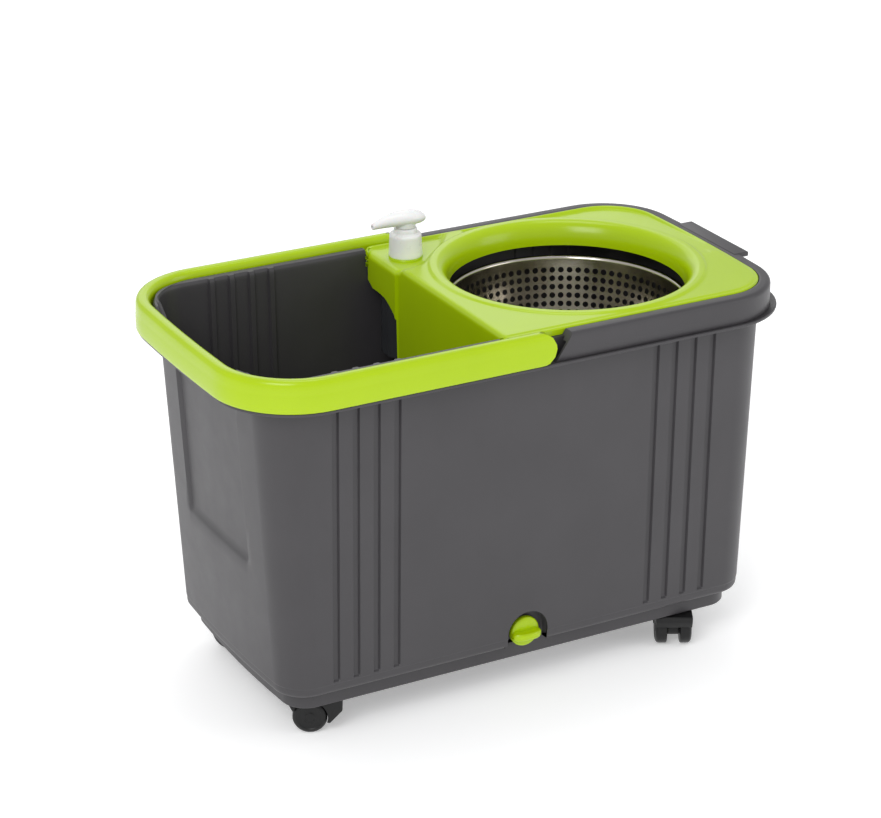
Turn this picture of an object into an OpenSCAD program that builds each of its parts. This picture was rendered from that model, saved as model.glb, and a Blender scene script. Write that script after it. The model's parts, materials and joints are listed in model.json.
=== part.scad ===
// Spin mop bucket on four twin-wheel casters: a bath with a carrying bail, a lift-out splash
// insert with a soap pump, and a spinning basket on a post.
// X runs along the bucket with the basket at +X, Y across it with the drain plug at -Y, Z up.
// The origin is on the floor under the middle of the bucket.

/* [Bucket] */
// Length of the bucket body under the rim
body_l = 508; // [450:1:570]
// Width of the bucket body under the rim
body_w = 252; // [246:1:302]
// Height of the rim above the floor
rim_z = 354; // [320:1:420]
// Corner radius of the body under the rim
body_r = 34; // [28:1:48]
// Wall thickness of the bucket
wall = 2.5; // [2:0.1:4]
// How far the short ends bow outwards
end_bow = 5; // [0:0.5:8]
// Inward lean of the long walls, degrees
side_draft = 1.2; // [0:0.1:2]
// Inward lean of the bath end wall, degrees
bath_end_draft = 3.2; // [0:0.1:4]
// Inward lean of the basket end wall, degrees
basket_end_draft = 1.8; // [0:0.1:4]

/* [Rim] */
// Overhang of the rim beyond the body wall
rim_overhang = 21; // [18:0.5:26]
// Height of the skirt under the rim
skirt_h = 27; // [24:1:34]
// Depth of the seat that the splash insert lies in
seat_depth = 5.5; // [4:0.5:8]
// Width of the finger notch over the bath end
notch_w = 160; // [100:5:180]
// Width of the grip tab over the basket end
tab_w = 96; // [60:2:140]

/* [Handle] */
// Thickness of the bail, inside to outside
handle_t = 13.5; // [11:0.5:15]
// Height of the bail
handle_h = 29; // [22:1:31]
// Gap between the bail and the rim
handle_gap = 2; // [1:0.5:3]
// Radius of the bail's pivot studs
stud_r = 5; // [3:0.5:7]

/* [Basket] */
// Radius of the basket over its rolled rim
basket_r = 113; // [95:1:113]
// Depth of the basket
basket_h = 70; // [55:1:90]
// Height of the basket's rim below the bucket's rim
basket_drop = 30; // [24:1:45]
// Radius of the spindle
spindle_r = 4; // [3:0.5:6]
// Radius of the opening in the splash insert
opening_r = 107; // [90:1:107]

/* [Soap pump] */
// Radius of the pump's screw closure
closure_r = 16; // [14:0.5:16]
// Height of the pump's screw closure
closure_h = 21.5; // [18:0.5:28]
// Height of the soap bottle under the deck
bottle_h = 84; // [60:1:110]
// Travel of the pump head
pump_travel = 12; // [6:1:14]

/* [Casters] */
// Radius of a caster wheel
wheel_r = 15.5; // [13:0.5:20]
// Thickness of a caster wheel
wheel_t = 11; // [8:0.5:14]
// Distance from a caster's swivel axis to its axle
trail = 14; // [10:0.5:16]
// Radius of a caster's swivel stem
stem_r = 4; // [3:0.5:5]

/* [Drain] */
// Radius of the drain plug's disc
plug_r = 14.3; // [12:0.1:16]
// Radius of the drain plug's screwed shank
shank_r = 7; // [5:0.5:8]

/* [Hidden] */
fit = 0.08;
clear = 0.6;
step = 0.5;
far = 400;
arc_n = 8;
$fn = 64;

// heights, from the floor up
plinth_h = 16;
plate_t = 3;
caster_h = 2 * wheel_r + 3;
body_z = caster_h + plinth_h;
crease_z = body_z + 10;
floor_z = body_z + plate_t;
skirt_z = rim_z - skirt_h;
seat_z = rim_z - seat_depth;
ledge_z = skirt_z + wall;

// outlines of the rim, each [length, width, corner radius, middle]
skirt_out = [body_l + 26, body_w + 36, body_r + 30];
bead_out = [body_l + 2 * rim_overhang, body_w + 2 * rim_overhang + 1, body_r + rim_overhang + 15];
handle_out = [bead_out[0] + 4, bead_out[1] + 3, bead_out[2] + 2.5];
handle_in = [for (i = [0:2]) handle_out[i] - (i < 2 ? 2 : 1) * handle_t];
recess_out = [for (i = [0:2]) handle_in[i] - (i < 2 ? 2 : 1) * handle_gap];
seat_out = [body_l + 4, body_w + 10, body_r + 14];
deck_out = [for (i = [0:2]) seat_out[i] - (i < 2 ? 2 : 1) * clear];
body_top = [body_l, body_w, body_r];

// the body narrows towards its base
drop = rim_z - crease_z;
bath_in = drop * tan(bath_end_draft);
basket_in = drop * tan(basket_end_draft);
side_in = drop * tan(side_draft);
body_low = [body_l - bath_in - basket_in, body_w - 2 * side_in, body_r - 6];
low_x = (bath_in - basket_in) / 2;
base_inset = 4;
plinth_inset = 11.5;
plinth_out = [body_low[0] - 2 * plinth_inset + 2, body_low[1] - 2 * plinth_inset, 22];
front_y = -body_low[1] / 2;
plinth_y = plinth_out[1] / 2;

tab_top = rim_z + 0.6;

// bail
handle_gap_z = 0.8;
handle_z = ledge_z + handle_gap_z;
pivot = [-2, handle_z + handle_h / 2];
stop_lean = 35;
stop_x = 14;
stud_len = handle_gap + wall;

// basket and post
basket_x = 110;
basket_top = rim_z - basket_drop;
basket_floor = basket_top - basket_h;
bead_r = 3;
sheet = 1;
hub_r = 34;
hub_top = basket_top - 21;
bush_r = spindle_r + 3.5;
post_top = basket_floor - 8;
post_base_r = 46;
post_top_r = 15;
post_screw_r = 36;

// splash insert
insert_x = -31;
insert_t = 2.5;
deck_z = seat_z;
deck_top = deck_z + insert_t;
ring_r = opening_r + 21;
crest_r = opening_r + 12;
crest_z = rim_z + 3;
lip_z = rim_z - 19;
step_y = 68;
divider_x = insert_x + 2.5;
divider_z = rim_z - 150;
wall_in_y = body_w / 2 - wall;
pocket_z = rim_z - 34;

// soap pump
pump_x = -5;
pump_y = wall_in_y - 27.5;
bottle_l = 43;
bottle_w = 38;
bottle_r = 14;
bottle_x = -4;
boss_h = 3;
bottle_drop = boss_h + 8;
bottle_wall = 1.2;
bottle_y = pump_y + 2;
neck_r = closure_r - 4;
closure_z = deck_top + boss_h;
collar_r = 11;
collar_z = closure_z + closure_h;
collar_h = 5;
stem_pump_r = 4;
head_z = collar_z + collar_h + 0.4;
housing_r = 7;
housing_z = closure_z - 45;
spring_z = housing_z + 8;
head_h = 16;
piston_z = head_z - pump_travel - 24;

// casters: [x, y, heading of the trail]
bath_end_inset = 46.5;
basket_end_inset = 53.7;
side_inset = 24.3;
bath_caster_x = low_x - plinth_out[0] / 2 + bath_end_inset;
basket_caster_x = low_x + plinth_out[0] / 2 - basket_end_inset;
caster_y = plinth_out[1] / 2 - side_inset;
casters = [[bath_caster_x, -caster_y, 152], [basket_caster_x, -caster_y, 242],
           [bath_caster_x, caster_y, 118], [basket_caster_x, caster_y, 28]];
boss_r = stem_r + 6;
hood_gap = 0.5;
hood_z = caster_h - hood_gap;
hub_t = 11;
wheel_y = hub_t / 2 + 0.5;
axle_r = 2;
stem_top = body_z - 2;
wheel_gap = 0.7;
caster_w = 2 * (wheel_y + wheel_t);

// drain
drain_x = 4;
drain_z = floor_z + shank_r + 0.6;
pocket_r = plug_r + 6;
back_y = -plinth_y - 0.5;
seal_t = 1.5;
plug_y = back_y - seal_t;
plug_t = 5;
wing_l = 10;
wing_h = 8;

// flutes in groups of four near each corner
flute_w = 6.5;
flute_d = 2.2;
flute_pitch = 19.6;
flute_x = [for (k = [0:3]) body_l / 2 - 67 - k * flute_pitch];

// rounded rectangle whose short ends bow outwards
function corner(l, w, r, sx, sy, a0) =
    [for (i = [0:arc_n]) let (a = a0 + 90 * i / arc_n)
        [sx * (l / 2 - r) + r * cos(a), sy * (w / 2 - r) + r * sin(a)]];
function end_run(l, w, r, s) =
    [for (i = [1:4]) [s * l / 2, s * (w / 2 - r) * (i / 2.5 - 1)]];
function bowed(p, l, w) = [p[0] * (1 - 2 * end_bow / l * pow(2 * p[1] / w, 2)), p[1]];
function outline(o, off = 0) =
    let (l = o[0] + 2 * off, w = o[1] + 2 * off, r = o[2] + off,
         pts = concat(end_run(l, w, r, 1), corner(l, w, r, 1, 1, 0), corner(l, w, r, -1, 1, 90),
                      end_run(l, w, r, -1), corner(l, w, r, -1, -1, 180),
                      corner(l, w, r, 1, -1, 270)))
    [for (p = pts) bowed(p, l, w)];

module slab(o, z0, z1, off = 0) {
    translate([0, 0, z0]) linear_extrude(z1 - z0) polygon(outline(o, off));
}

module ring_slab(outer, inner, z0, z1, off_out = 0, off_in = 0) {
    difference() {
        slab(outer, z0, z1, off_out);
        slab(inner, z0 - 1, z1 + 1, off_in);
    }
}

// solid body between the base and a height, grown or shrunk by off
module body_solid(off, z0, z1) {
    thin = 0.01;
    hull() {
        slab(body_top, z1 - thin, z1, off);
        translate([low_x, 0, 0]) slab(body_low, crease_z, crease_z + thin, off);
        translate([low_x, 0, 0]) slab(body_low, z0, z0 + thin, off - base_inset);
    }
}

// polygon in the XZ plane, extruded across the bucket
module across(pts, w = 2 * far) {
    rotate([90, 0, 0]) linear_extrude(w, center = true) polygon(pts);
}

// everything on the bath side of the sloping stop
module bath_side(z0) {
    rise = rim_z + 10 - z0;
    across([[-far, z0], [stop_x, z0], [stop_x + rise * tan(stop_lean), z0 + rise],
            [-far, z0 + rise]]);
}

module rim() {
    difference() {
        union() {
            slab(skirt_out, skirt_z, rim_z);
            slab(bead_out, skirt_z, skirt_z + 3.5);
            translate([handle_out[0] / 2 - 16, -tab_w / 2, rim_z - 4])
                cube([16, tab_w, tab_top - rim_z + 4]);
        }
        intersection() {
            bath_side(ledge_z);
            difference() {
                slab(bead_out, ledge_z, rim_z + 1, 5);
                slab(recess_out, ledge_z - 1, rim_z + 2);
            }
        }
        intersection() {
            ring_slab(recess_out, body_top, skirt_z - 1, seat_z - wall, -wall, 0);
            translate([-far, -far, 0]) cube([far + stop_x + 6, 2 * far, far]);
        }
        intersection() {
            ring_slab(skirt_out, body_top, skirt_z - 1, seat_z - wall, -wall, 0);
            translate([stop_x + 24, -far, 0]) cube([far, 2 * far, far]);
        }
    }
}

// grooves outside or ribs inside the long walls
module flutes(inside) {
    depth = inside ? wall : 0;
    width = inside ? flute_w + 2 : flute_w;
    z1 = inside ? rim_z - 1 : skirt_z - 2;
    for (s = [-1, 1], e = [-1, 1], x = flute_x)
        translate([e * x, s * (body_w / 2 - (rim_z - crease_z) * tan(side_draft)), crease_z])
            rotate([-s * side_draft, 0, 0])
                translate([-width / 2, s > 0 ? -flute_d - depth : depth - (inside ? 0 : 2), 0])
                    cube([width, flute_d + (inside ? 0.4 : 2), z1 - crease_z]);
}

module drain_pocket(grow) {
    r = pocket_r + grow;
    translate([drain_x, -far / 2 + back_y + grow, drain_z + 2]) {
        rotate([90, 0, 0]) cylinder(h = far, r = r, center = true);
        translate([-r, -far / 2, -far]) cube([2 * r, far, far]);
    }
}

module tipping_grip() {
    r = 21;
    half = 62;
    translate([body_low[0] / 2 + low_x - 1, 0, body_z + 50]) difference() {
        union() {
            rotate([90, 0, 0]) cylinder(h = 2 * half, r = r, center = true);
            for (s = [-1, 1]) translate([0, s * half, 0]) sphere(r);
        }
        rotate([90, 0, 0]) cylinder(h = 2 * half, r = r - wall, center = true);
        translate([-far, -far / 2, -far / 2]) cube([far, far, far]);
        translate([-r, -half, -r - 1]) cube([2 * r, 2 * half, r]);
    }
}

module bucket() color("#525054") {
    difference() {
        union() {
            difference() {
                union() {
                    rim();
                    body_solid(0, body_z, rim_z);
                }
                body_solid(-wall, floor_z, rim_z + 1);
                flutes(false);
            }
            intersection() {
                flutes(true);
                body_solid(-wall / 2, floor_z, rim_z - 0.5);
            }
            translate([low_x, 0, 0]) ring_slab(plinth_out, plinth_out, caster_h, body_z + 1, 0, -wall);
            for (c = casters) translate([c[0], c[1], caster_h]) cylinder(h = plinth_h + 1, r = boss_r);
            intersection() {
                drain_pocket(wall);
                body_solid(-step, body_z, rim_z);
            }
            translate([drain_x, back_y + wall + 5, drain_z]) rotate([90, 0, 0])
                cylinder(h = 6, r = shank_r + 2.5);
            tipping_grip();
            intersection() {
                ring_slab(recess_out, body_top, rim_z - 20 - wall, rim_z - 20, 0, -wall - 3);
                translate([-far, -notch_w / 2, 0]) cube([far - 200, notch_w, far]);
            }
        }
        intersection() {
            drain_pocket(0);
            translate([-far, -far, body_z]) cube([2 * far, far, far]);
        }
        translate([drain_x, back_y + 20, drain_z]) rotate([90, 0, 0])
            cylinder(h = 40, r = shank_r + fit);
        for (c = casters) translate([c[0], c[1], caster_h - 1])
            cylinder(h = stem_top - caster_h + 1.2, r = stem_r + fit);
        for (s = [-1, 1]) translate([pivot[0], s * recess_out[1] / 2, pivot[1]]) rotate([90, 0, 0])
            cylinder(h = 4 * wall, r = stud_r + fit, center = true);
        for (a = [0:120:240]) translate([basket_x, 0, body_z - 1]) rotate(a)
            translate([post_screw_r, 0, 0]) cylinder(h = plate_t + 2, r = 2.1);
        // seat of the splash insert
        intersection() {
            slab(seat_out, seat_z, rim_z + 1);
            translate([insert_x - clear, -far, 0]) cube([far, 2 * far, far]);
        }
        // finger notch over the bath end
        translate([-far / 2 - 230, 0, 0]) rotate([90, 0, 90]) linear_extrude(far, center = true)
            polygon([[-notch_w / 2, rim_z + 1], [-notch_w / 2 + 16, rim_z - 20],
                     [notch_w / 2 - 16, rim_z - 20], [notch_w / 2, rim_z + 1]]);
    }
}

module handle() color("#b4d800") {
    arm_x = pivot[0];
    intersection() {
        union() {
            difference() {
                ring_slab(handle_out, handle_in, handle_z, handle_z + handle_h);
                // the bail is a channel, open underneath
                intersection() {
                    ring_slab(handle_out, handle_in, handle_z - 1, handle_z + handle_h - 3, -3, 3);
                    translate([-far, -far, 0]) cube([far - 30, 2 * far, far]);
                }
            }
        }
        union() {
            across([[-far, handle_z], [arm_x, handle_z], [arm_x, handle_z + handle_h],
                    [-far, handle_z + handle_h]]);
            translate([arm_x, 0, pivot[1]]) rotate([90, 0, 0])
                cylinder(h = 2 * far, r = handle_h / 2, center = true);
        }
    }
    for (s = [-1, 1])
        translate([pivot[0], s * (handle_in[1] / 2 + 1 - (stud_len + 1) / 2), pivot[1]])
            rotate([90, 0, 0]) cylinder(h = stud_len + 1, r = stud_r, center = true);
}

// outline of the deck, seen from above
module deck_plan(off = 0) {
    intersection() {
        polygon(outline(deck_out, off));
        translate([insert_x, -far]) square([far, 2 * far]);
    }
}

// collar round the opening: a funnel with a soft crest and a step down to the deck
module collar() {
    t = insert_t;
    rr = crest_r - opening_r;
    hh = crest_z - lip_z;
    inner = [for (i = [0:8]) let (a = 90 * i / 8)
        [crest_r - rr * cos(a), lip_z + hh * sin(a)]];
    under = [for (i = [8:-1:0]) let (a = 90 * i / 8)
        [crest_r - (rr - t) * cos(a), lip_z + (hh - t) * sin(a)]];
    translate([basket_x, 0, 0]) rotate_extrude($fn = 96)
        polygon(concat(inner, [[ring_r - 4, crest_z - 3], [ring_r, deck_top]],
                       [[ring_r, deck_z], [ring_r - 5, deck_z]], under));
}

module divider() {
    top = deck_top - 1;
    low_half = wall_in_y - 1.5 - (rim_z - divider_z) * tan(side_draft);
    top_half = wall_in_y - 2;
    translate([divider_x, 0, 0]) rotate([90, 0, 90]) linear_extrude(insert_t)
        polygon([[-top_half, top], [-low_half, divider_z], [step_y - 4, divider_z],
                 [step_y, top]]);
    // front wall of the bottle pocket, cut away underneath
    translate([insert_x, 0, 0]) rotate([90, 0, 90]) linear_extrude(insert_t)
        polygon([[step_y - 2, top], [step_y - 2, pocket_z - 16], [step_y + 2, pocket_z - 12],
                 [step_y + 8, pocket_z - 4], [step_y + 18, pocket_z],
                 [wall_in_y - 4, pocket_z], [wall_in_y - 2, top]]);
    translate([insert_x, step_y - 2, divider_z + 20])
        cube([insert_t + divider_x - insert_x, insert_t, top - divider_z - 20]);
}

module splash_insert() color("#b4d800") {
    difference() {
        union() {
            difference() {
                translate([0, 0, deck_z]) linear_extrude(insert_t) deck_plan();
                translate([basket_x, 0, deck_z - 1]) cylinder(h = 20, r = ring_r - 2, $fn = 96);
            }
            // raised edge all round the deck
            translate([0, 0, deck_z]) linear_extrude(rim_z - deck_z + 0.6) difference() {
                deck_plan();
                intersection() {
                    polygon(outline(deck_out, -5));
                    translate([insert_x - 1, -far]) square([far, 2 * far]);
                }
            }
            collar();
            divider();
            translate([pump_x, pump_y, deck_z]) cylinder(h = insert_t + boss_h, r = closure_r + 2);
        }
        translate([pump_x, pump_y, deck_z - 1]) cylinder(h = 20, r = neck_r + 0.3);
    }
}

module spin_basket() color("#b8b6b2") {
    t = basket_top - bead_r;
    f = basket_floor;
    w = basket_r - 2 * bead_r;
    outer = [[20, f], [w - 25, f], [w - 17, f + 3], [w - 10, f + 10], [w - 6, f + 19], [w, t]];
    inner = [[w - sheet, t], [w - 6 - sheet, f + 19.2], [w - 10.8, f + 10.6],
             [w - 17.5, f + 3.9], [w - 25.2, f + sheet], [20, f + sheet]];
    translate([basket_x, 0, 0]) {
        rotate_extrude($fn = 96) polygon(concat(outer, inner));
        rotate_extrude($fn = 96) translate([basket_r - bead_r, t]) circle(r = bead_r + 0.01, $fn = 24);
    }
}

module basket_hub() color("#f0f0ee") {
    f = basket_floor + sheet;
    translate([basket_x, 0, 0]) rotate_extrude()
        polygon([[bush_r, f - 6], [19.8, f - 6], [19.8, f], [hub_r, f], [hub_r, f + 3],
                 [24, f + 7], [19, f + 14], [15.5, hub_top - 8], [13.5, hub_top - 3],
                 [9, hub_top - 0.6], [0, hub_top], [0, hub_top - 4], [bush_r, hub_top - 4]]);
}

module hub_bush() color("#dcdcd8") {
    translate([basket_x, 0, post_top + 1.5]) difference() {
        cylinder(h = hub_top - 5 - post_top - 1.5, r = bush_r);
        translate([0, 0, -1]) cylinder(h = 200, r = spindle_r + fit);
    }
}

module spindle() color("#c8c8c8") {
    translate([basket_x, 0, post_top - 25]) {
        cylinder(h = hub_top - 6 - post_top + 25, r = spindle_r);
        translate([0, 0, 25]) cylinder(h = 1.3, r = spindle_r + 2);
    }
}

module spindle_post() color("#525054") {
    t = 3;
    translate([basket_x, 0, 0]) difference() {
        rotate_extrude()
            polygon([[post_base_r, floor_z], [post_base_r, floor_z + 4], [30, floor_z + 7],
                     [post_top_r, post_top], [0, post_top], [0, post_top - 28],
                     [post_top_r - t, post_top - 32], [30 - t, floor_z]]);
        translate([0, 0, post_top - 25]) cylinder(h = 30, r = spindle_r);
        for (a = [0:120:240]) rotate(a) translate([post_screw_r, 0, floor_z - 1])
            cylinder(h = 20, r = 2);
    }
}

module post_screws() color("#c8c8c8") {
    for (a = [0:120:240]) translate([basket_x, 0, 0]) rotate(a)
        translate([post_screw_r, 0, body_z - 2.5]) {
            cylinder(h = 2.5, r = 4);
            cylinder(h = plate_t + 2.5 + 4, r = 2);
        }
}

// rounded block in the middle of the bottle's place, shrunk by off
module bottle_block(off, z0, z1) {
    dx = bottle_l / 2 - bottle_r;
    dy = bottle_w / 2 - bottle_r;
    translate([bottle_x, bottle_y, z0]) {
        for (sx = [-1, 1], sy = [-1, 1])
            translate([sx * dx, sy * dy, 0]) cylinder(h = z1 - z0, r = bottle_r - off);
        translate([off - bottle_l / 2, -dy, 0]) cube([bottle_l - 2 * off, 2 * dy, z1 - z0]);
        translate([-dx, off - bottle_w / 2, 0]) cube([2 * dx, bottle_w - 2 * off, z1 - z0]);
    }
}

module soap_bottle() color("#3a3c40", 0.8) {
    z1 = closure_z - bottle_drop;
    z0 = z1 - bottle_h;
    difference() {
        union() {
            bottle_block(0, z0, z1);
            translate([pump_x, pump_y, z1]) cylinder(h = closure_z + 12 - z1, r = neck_r);
        }
        bottle_block(bottle_wall, z0 + bottle_wall, z1 - bottle_wall);
        translate([pump_x, pump_y, z1 - 2]) cylinder(h = 40, r = neck_r - 2);
    }
}

module bottle_gasket() color("#f0f0ee") {
    translate([pump_x, pump_y, closure_z + 12]) difference() {
        cylinder(h = 1, r = neck_r);
        translate([0, 0, -1]) cylinder(h = 3, r = housing_r);
    }
}

module pump_closure() color("#f4f4f2") {
    translate([pump_x, pump_y, closure_z]) difference() {
        rotate_extrude()
            polygon([[neck_r + 0.2, 0], [closure_r, 0], [closure_r - 0.8, closure_h - 3],
                     [closure_r - 2.5, closure_h], [collar_r + 0.3, closure_h + 1],
                     [collar_r, closure_h + collar_h - 1], [collar_r - 1, closure_h + collar_h],
                     [stem_pump_r + fit, closure_h + collar_h], [stem_pump_r + fit, closure_h - 3],
                     [neck_r + 0.2, closure_h - 3]]);
    }
}

module pump_housing() color("#f4f4f2") {
    z1 = closure_z + closure_h - 3;
    translate([pump_x, pump_y, 0]) difference() {
        union() {
            translate([0, 0, housing_z]) cylinder(h = z1 - housing_z, r = housing_r);
            translate([0, 0, closure_z + 13]) cylinder(h = 2, r = neck_r);
            translate([0, 0, housing_z - 6]) cylinder(h = 6, r = 3.2);
        }
        translate([0, 0, housing_z + 6]) cylinder(h = 100, r = housing_r - 1.5);
        translate([0, 0, housing_z - 7]) cylinder(h = 20, r = 1.8);
        translate([0, 0, housing_z + 2]) cylinder(h = 10, r = 3.1);
    }
}

module pump_spring() color("#c8c8c8") {
    translate([pump_x, pump_y, spring_z]) difference() {
        cylinder(h = piston_z - spring_z, r = housing_r - 2);
        translate([0, 0, -1]) cylinder(h = 100, r = housing_r - 3);
    }
}

module pump_stem() color("#f4f4f2") {
    translate([pump_x, pump_y, piston_z]) difference() {
        union() {
            cylinder(h = head_z - piston_z, r = stem_pump_r);
            cylinder(h = 4, r = housing_r - 1.5 - fit);
        }
        translate([0, 0, -1]) cylinder(h = 100, r = 1.5);
    }
}

module pump_head() color("#f8f8f6") {
    tip_x = 37;
    dome = 12.5;
    translate([pump_x, pump_y, head_z]) {
        cylinder(h = 3, r = stem_pump_r + 4);
        hull($fn = 32) {
            translate([0, 0, 0.6]) cylinder(h = 1.5, r = 9.5);
            translate([1.5, 0, head_h / 2]) scale([1.48, 0.9, head_h / 2 / dome]) sphere(dome);
            translate([-tip_x, 0, 5.5]) rotate([0, 90, 0]) cylinder(h = 5, r = 2.8);
        }
    }
}

module inlet_ball() color("#c8c8c8") {
    translate([pump_x, pump_y, housing_z + 5]) sphere(2.6);
}

module dip_tube() color("#f4f4f2", 0.7) {
    z0 = closure_z - bottle_drop - bottle_h + 3;
    translate([pump_x, pump_y, z0]) difference() {
        cylinder(h = housing_z - 6 - z0, r = 2.8);
        translate([0, 0, -1]) cylinder(h = 200, r = 1.8);
    }
}

module drain_plug() color("#b4d800") {
    translate([drain_x, plug_y, drain_z]) rotate([90, 0, 0]) {
        cylinder(h = plug_t, r = plug_r);
        translate([0, 0, -12]) cylinder(h = 12, r = shank_r);
        translate([0, -1.5, plug_t - 1]) intersection() {
            translate([-plug_r, -wing_h / 2, 0]) cube([2 * plug_r, wing_h, wing_l + 1]);
            cylinder(h = wing_l + 1, r1 = plug_r - 0.3, r2 = plug_r - 2.5);
        }
    }
}

module drain_seal() color("#202020") {
    translate([drain_x, back_y, drain_z]) rotate([90, 0, 0]) difference() {
        cylinder(h = seal_t, r = shank_r + 4);
        translate([0, 0, -1]) cylinder(h = 10, r = shank_r + fit);
    }
}

// a caster at the origin, trailing towards +X; the wheels turn about Y
module hood() color("#1c1c1e") {
    front = -15;
    back = trail + wheel_r + 2.5;
    difference() {
        union() {
            // cover over both wheels, with a fender that slopes down in front of them
            across([[front, hood_z], [front, hood_z - 11], [front + 11, 10], [front + 15, 10],
                    [trail, wheel_r], [back, hood_z - 6], [back, hood_z]], caster_w);
            translate([trail, 0, wheel_r]) rotate([90, 0, 0])
                cylinder(h = hub_t, r = wheel_r / 2, center = true);
        }
        for (s = [-1, 1]) translate([trail, s * (wheel_y + wheel_t / 2), wheel_r]) rotate([90, 0, 0])
            cylinder(h = wheel_t + 1, r = wheel_r + wheel_gap, center = true);
        translate([trail, 0, wheel_r]) rotate([90, 0, 0]) difference() {
            cylinder(h = hub_t + 1.1, r = wheel_r + wheel_gap, center = true);
            cylinder(h = hub_t, r = wheel_r / 2, center = true);
            translate([-trail - stem_r - 4, 0, -hub_t / 2]) cube([trail + 4, 2 * wheel_r, hub_t]);
        }
        translate([trail, 0, wheel_r]) rotate([90, 0, 0]) cylinder(h = 60, r = axle_r, center = true);
        translate([0, 0, hood_z - 14]) cylinder(h = 20, r = stem_r);
    }
}

module stem() color("#c8c8c8") {
    translate([0, 0, hood_z - 14]) cylinder(h = stem_top - hood_z + 14, r = stem_r);
}

module axle() color("#c8c8c8") {
    translate([trail, 0, wheel_r]) rotate([90, 0, 0])
        cylinder(h = caster_w - 3, r = axle_r, center = true);
}

module wheel(s) color("#1c1c1e") {
    translate([trail, s * wheel_y, wheel_r]) rotate([-s * 90, 0, 0]) difference() {
        rotate_extrude()
            polygon([[axle_r + fit, 0], [wheel_r - 1, 0], [wheel_r, 1], [wheel_r, wheel_t - 3],
                     [wheel_r - 1.2, wheel_t - 1], [wheel_r - 4, wheel_t], [0, wheel_t],
                     [0, wheel_t - 1.4], [axle_r + fit, wheel_t - 1.4]]);
    }
}

module at_caster(i) {
    c = casters[i - 1];
    translate([c[0], c[1], 0]) rotate(c[2]) children();
}

bucket();
handle();
splash_insert();
spin_basket();
basket_hub();
hub_bush();
spindle();
spindle_post();
post_screws();
soap_bottle();
bottle_gasket();
pump_closure();
pump_housing();
pump_spring();
pump_stem();
pump_head();
inlet_ball();
dip_tube();
drain_plug();
drain_seal();
for (i = [1:4]) {
    at_caster(i) hood();
    at_caster(i) stem();
    at_caster(i) axle();
    at_caster(i) wheel(-1);
    at_caster(i) wheel(1);
}
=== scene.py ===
import json
import math
import bmesh
import bpy
from mathutils import Matrix, Vector


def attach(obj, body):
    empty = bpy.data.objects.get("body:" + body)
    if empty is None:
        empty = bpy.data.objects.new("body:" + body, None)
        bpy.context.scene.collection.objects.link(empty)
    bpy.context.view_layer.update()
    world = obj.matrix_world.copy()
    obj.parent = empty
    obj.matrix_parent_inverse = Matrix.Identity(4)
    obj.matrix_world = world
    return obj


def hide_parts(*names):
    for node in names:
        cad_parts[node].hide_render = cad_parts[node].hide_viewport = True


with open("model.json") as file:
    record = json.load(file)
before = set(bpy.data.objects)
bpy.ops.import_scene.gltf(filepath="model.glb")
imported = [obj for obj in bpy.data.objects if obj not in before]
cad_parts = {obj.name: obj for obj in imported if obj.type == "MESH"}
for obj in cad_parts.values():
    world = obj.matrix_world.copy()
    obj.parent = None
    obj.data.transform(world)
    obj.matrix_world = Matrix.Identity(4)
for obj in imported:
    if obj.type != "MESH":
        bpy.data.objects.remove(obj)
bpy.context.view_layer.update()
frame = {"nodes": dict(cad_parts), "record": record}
mm = 0.001
print("frame loaded")


def nothingSelected():
    if bpy.context.object and bpy.context.object.mode != "OBJECT":
        bpy.ops.object.mode_set(mode="OBJECT")
    bpy.ops.object.select_all(action="DESELECT")


def workOn(piece):
    nothingSelected()
    piece.select_set(True)
    bpy.context.view_layer.objects.active = piece


# shader nodes by arithmetic: a Value wraps one socket of one material
class Value:
    def __init__(self, shade, socket):
        self.shade, self.socket = shade, socket

    def maths(self, operation, *others):
        return self.shade.node("ShaderNodeMath", {"operation": operation}, [self, *others]).out()

    def __add__(self, other): return self.maths("ADD", other)
    def __radd__(self, other): return self.maths("ADD", other)
    def __sub__(self, other): return self.maths("SUBTRACT", other)
    def __rsub__(self, other): return self.shade.number(other).maths("SUBTRACT", self)
    def __mul__(self, other): return self.maths("MULTIPLY", other)
    def __rmul__(self, other): return self.maths("MULTIPLY", other)
    def __truediv__(self, other): return self.maths("DIVIDE", other)
    def __pow__(self, other): return self.maths("POWER", other)
    def __neg__(self): return self.maths("MULTIPLY", -1.0)
    def __abs__(self): return self.maths("ABSOLUTE")
    def over(self, other): return self.maths("GREATER_THAN", other)
    def under(self, other): return self.maths("LESS_THAN", other)
    def clipped(self): return self.maths("MINIMUM", 1.0).maths("MAXIMUM", 0.0)


class Made:
    def __init__(self, shade, item):
        self.shade, self.item = shade, item

    def out(self, which=0):
        return Value(self.shade, self.item.outputs[which])


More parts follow.
